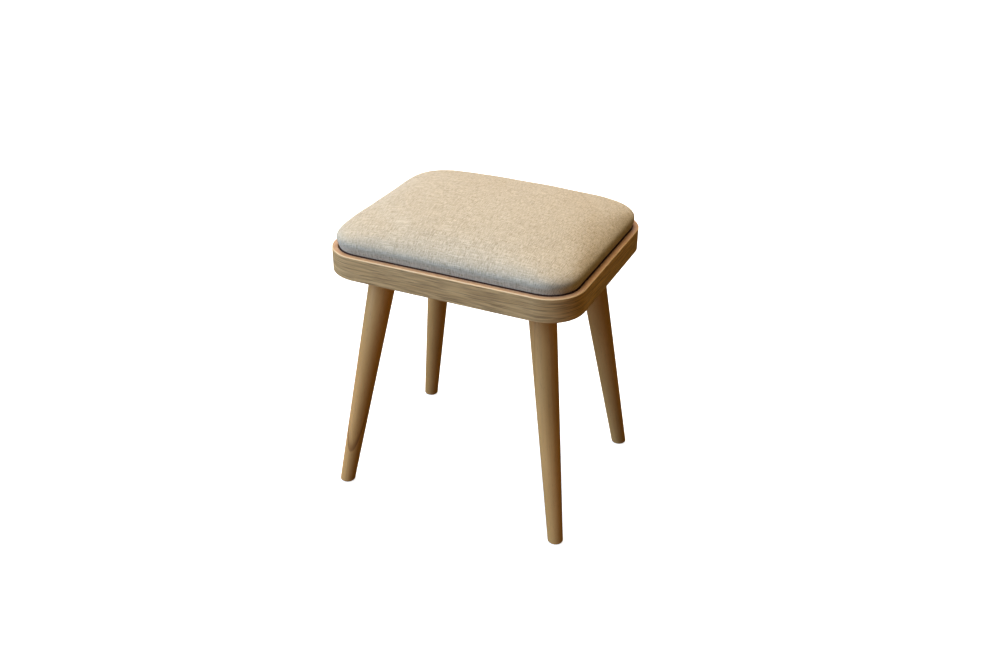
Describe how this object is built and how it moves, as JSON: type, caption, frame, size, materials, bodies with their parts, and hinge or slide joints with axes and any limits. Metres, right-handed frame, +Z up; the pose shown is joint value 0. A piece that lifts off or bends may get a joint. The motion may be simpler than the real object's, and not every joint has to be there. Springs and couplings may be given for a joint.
{
  "type": "upholstered pouf stool",
  "caption": "Low pouf stool: a bent wooden ring round a domed linen drop-in seat, on splayed, tapered turned legs; a seat for one person.",
  "frame": {"origin": "on the floor under the middle of the seat", "axes": "+Z up, +X along the longer side of the seat, -Y the front that the picture shows most of"},
  "size_m": [0.38, 0.318, 0.4539],
  "materials": {
    "oak_veneer": "satin lacquer, grain running round the ring",
    "turned_beech": "satin lacquer, turned, long grain",
    "plywood": "bare sanded plywood",
    "linen": "plain slub weave",
    "foam": "open cell foam",
    "plate_steel": "black powder coat",
    "zinc_steel": "zinc plated",
    "nylon": "moulded nylon, matte"
  },
  "bodies": {
    "root": {"seat_frame": "oak_veneer", "base_panel": "plywood", "seat_board": "plywood", "foam_pad": "foam", "seat_cover": "linen", "cover_staples": "zinc_steel", "block_screws": "zinc_steel", "leg_plate_screws": "zinc_steel", "seat_bolts": "zinc_steel", "seat_washers": "zinc_steel", "seat_tee_nuts": "zinc_steel", "corner_block_front_left": "plywood", "leg_plate_front_left": "plate_steel", "leg_front_left": "turned_beech", "hanger_bolt_front_left": "zinc_steel", "glide_front_left": "nylon", "corner_block_front_right": "plywood", "leg_plate_front_right": "plate_steel", "leg_front_right": "turned_beech", "hanger_bolt_front_right": "zinc_steel", "glide_front_right": "nylon", "corner_block_back_left": "plywood", "leg_plate_back_left": "plate_steel", "leg_back_left": "turned_beech", "hanger_bolt_back_left": "zinc_steel", "glide_back_left": "nylon", "corner_block_back_right": "plywood", "leg_plate_back_right": "plate_steel", "leg_back_right": "turned_beech", "hanger_bolt_back_right": "zinc_steel", "glide_back_right": "nylon"}
  },
  "joints": []
}
